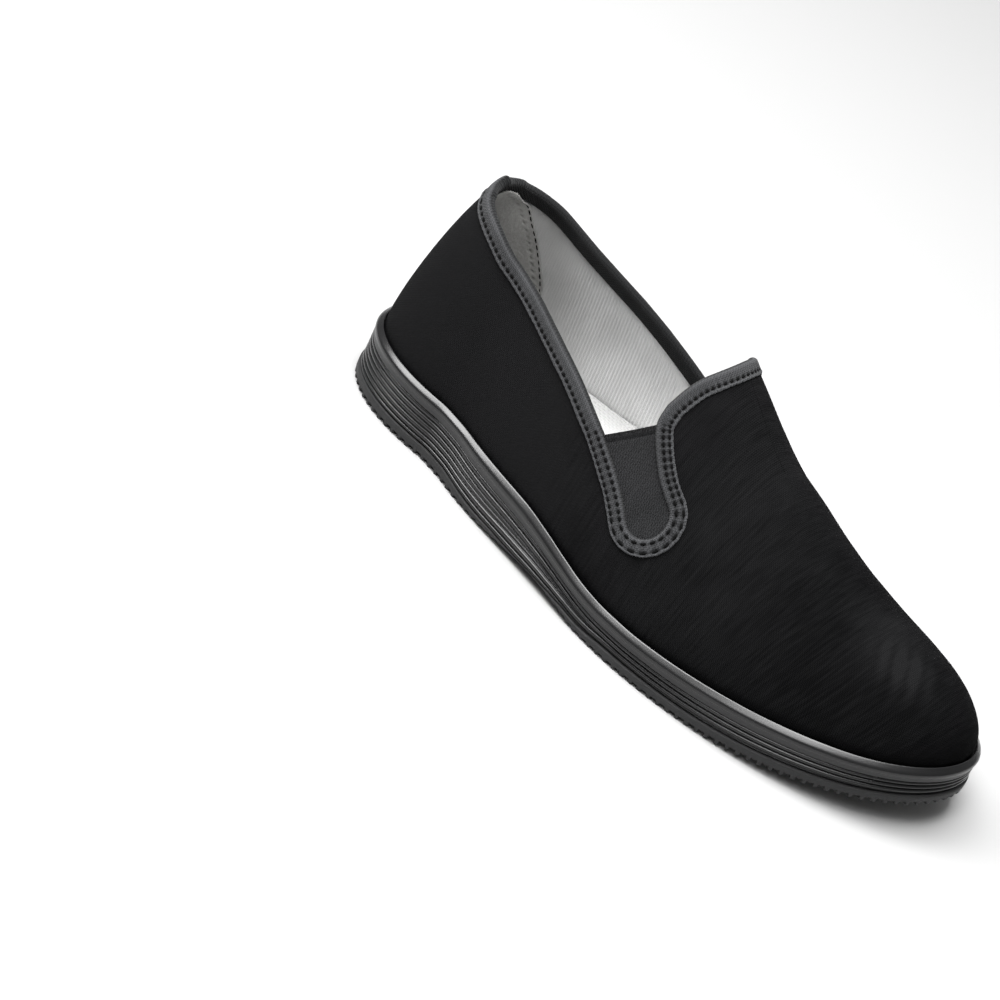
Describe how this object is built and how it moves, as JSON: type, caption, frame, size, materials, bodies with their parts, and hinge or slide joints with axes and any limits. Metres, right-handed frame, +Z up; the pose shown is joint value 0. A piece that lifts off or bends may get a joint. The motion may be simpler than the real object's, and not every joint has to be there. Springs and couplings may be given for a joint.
{
  "type": "chinese cloth shoe",
  "caption": "Right-foot black canvas slip-on shoe with elastic side gores, taped topline and a ribbed moulded rubber sole.",
  "frame": {"origin": "on the floor, under the middle of the shoe's box", "axes": "+X towards the toe, +Y towards the inner side of the foot, +Z up"},
  "size_m": [0.2792, 0.1086, 0.0971],
  "materials": {
    "canvas_black": "matte plain weave",
    "tape_charcoal": "matte twill tape",
    "elastic_charcoal": "matte ribbed elastic",
    "lining_grey": "matte brushed cotton",
    "rubber_black": "glossy moulded side, satin tread"
  },
  "bodies": {
    "root": {"outsole": "rubber_black", "midsole": "rubber_black", "insole": "lining_grey", "upper": "canvas_black", "gore_lateral": "elastic_charcoal", "gore_medial": "elastic_charcoal", "edge_binding": "tape_charcoal"}
  },
  "joints": []
}
